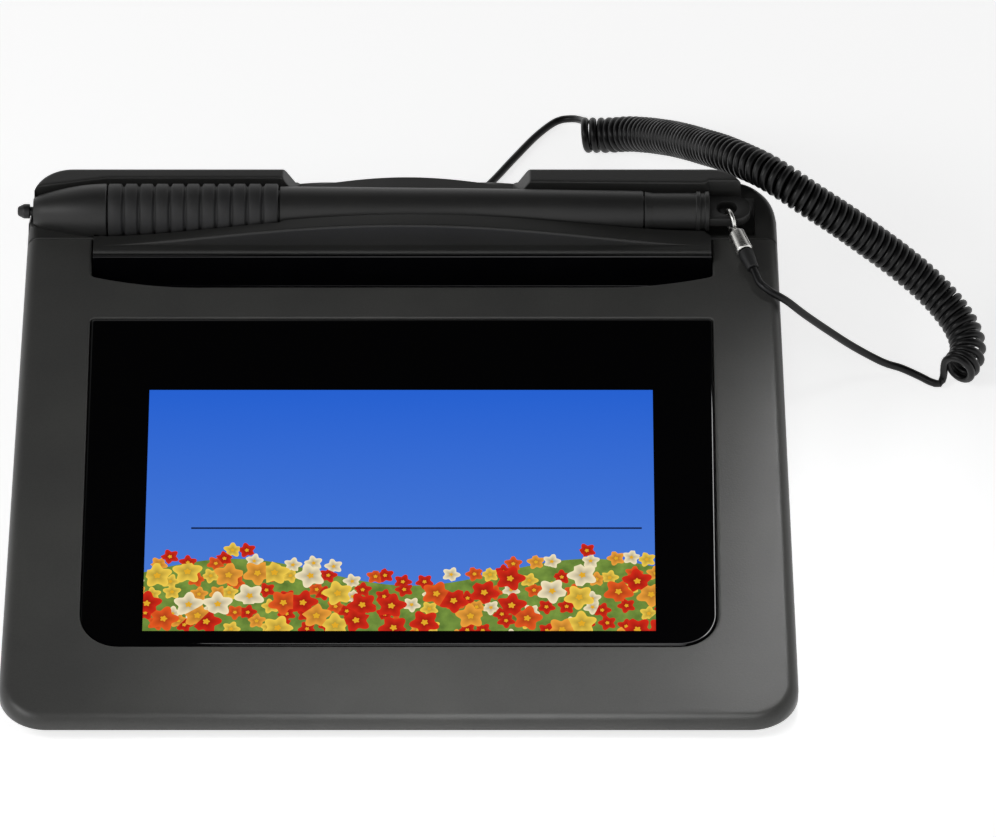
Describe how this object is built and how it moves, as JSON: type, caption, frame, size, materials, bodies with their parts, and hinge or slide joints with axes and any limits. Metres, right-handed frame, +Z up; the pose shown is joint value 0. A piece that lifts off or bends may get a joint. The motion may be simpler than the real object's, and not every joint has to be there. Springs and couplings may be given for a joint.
{
  "type": "signature pad",
  "caption": "Wedge-shaped signature pad with a display under glass, a rear pen tray, and a pen held by a curly tether.",
  "frame": {"origin": "on the table, under the middle of the case; the feet stand on Z = 0", "axes": "+X along the front edge to the right, +Y from the front edge to the pen tray, +Z up"},
  "size_m": [0.2111, 0.1997, 0.0393],
  "materials": {
    "charcoal_plastic": "satin, finely textured moulding",
    "dark_plastic": "satin moulding",
    "gloss_black": "high gloss",
    "cover_glass": "polished, with a printed black border",
    "black_foam": "matt foam tape",
    "display_cell": "lit colour display",
    "white_diffuser": "matt film",
    "zinc_plate": "zinc plated",
    "board_green": "solder resist",
    "chip_black": "moulded epoxy",
    "flex_amber": "polyimide film",
    "black_rubber": "soft matt",
    "tether_black": "smooth polyurethane jacket",
    "enamelled_copper": "enamelled wire",
    "ferrite": "sintered",
    "bright_steel": "polished"
  },
  "bodies": {
    "base": {"top_housing": "charcoal_plastic", "base_housing": "dark_plastic", "pen_tray": "charcoal_plastic", "recess_strip": "gloss_black", "cover_glass": "cover_glass", "glass_gasket": "black_foam", "lcd_panel": "display_cell", "backlight": "white_diffuser", "lcd_frame": "zinc_plate", "sensor_board": "board_green", "shield_plate": "zinc_plate", "main_board": "board_green", "board_screw_1": "zinc_plate", "board_screw_2": "zinc_plate", "board_screw_3": "zinc_plate", "board_screw_4": "zinc_plate", "controller_chip": "chip_black", "memory_chip": "chip_black", "usb_socket": "zinc_plate", "display_ribbon": "flex_amber", "foot_front_left": "black_rubber", "foot_front_right": "black_rubber", "foot_rear_left": "black_rubber", "foot_rear_right": "black_rubber", "case_screw_front_left": "zinc_plate", "case_screw_front_right": "zinc_plate", "case_screw_rear_left": "zinc_plate", "case_screw_rear_right": "zinc_plate", "tether_gland": "black_rubber", "pad_lead": "tether_black", "tether_coil": "tether_black", "pen_lead": "tether_black"},
    "pen": {"pen_barrel": "charcoal_plastic", "grip_sleeve": "black_rubber", "nose_cone": "dark_plastic", "tail_cap": "charcoal_plastic", "pen_board": "board_green", "tip_switch": "chip_black", "sensing_coil": "enamelled_copper", "ferrite_core": "ferrite", "swivel_eye": "bright_steel"},
    "nib": {"nib": "dark_plastic"},
    "swivel": {"swivel_barrel": "bright_steel", "cord_boot": "black_rubber"}
  },
  "joints": [
    {"name": "pen_lift", "type": "slide", "parent": "base", "child": "pen", "axis": [0, 0, 1], "range_m": [0, 0.04]},
    {"name": "nib_press", "type": "slide", "parent": "pen", "child": "nib", "axis": [1, 0, 0], "range_m": [0, 0.0005], "stiffness_N_per_m": 200, "springref_m": -0.001},
    {"name": "swivel_spin", "type": "hinge", "parent": "pen", "child": "swivel", "pos_m": [0.0706, 0.0599, 0.0319], "axis": [0.3306, -0.9317, -0.1503], "continuous": true}
  ]
}
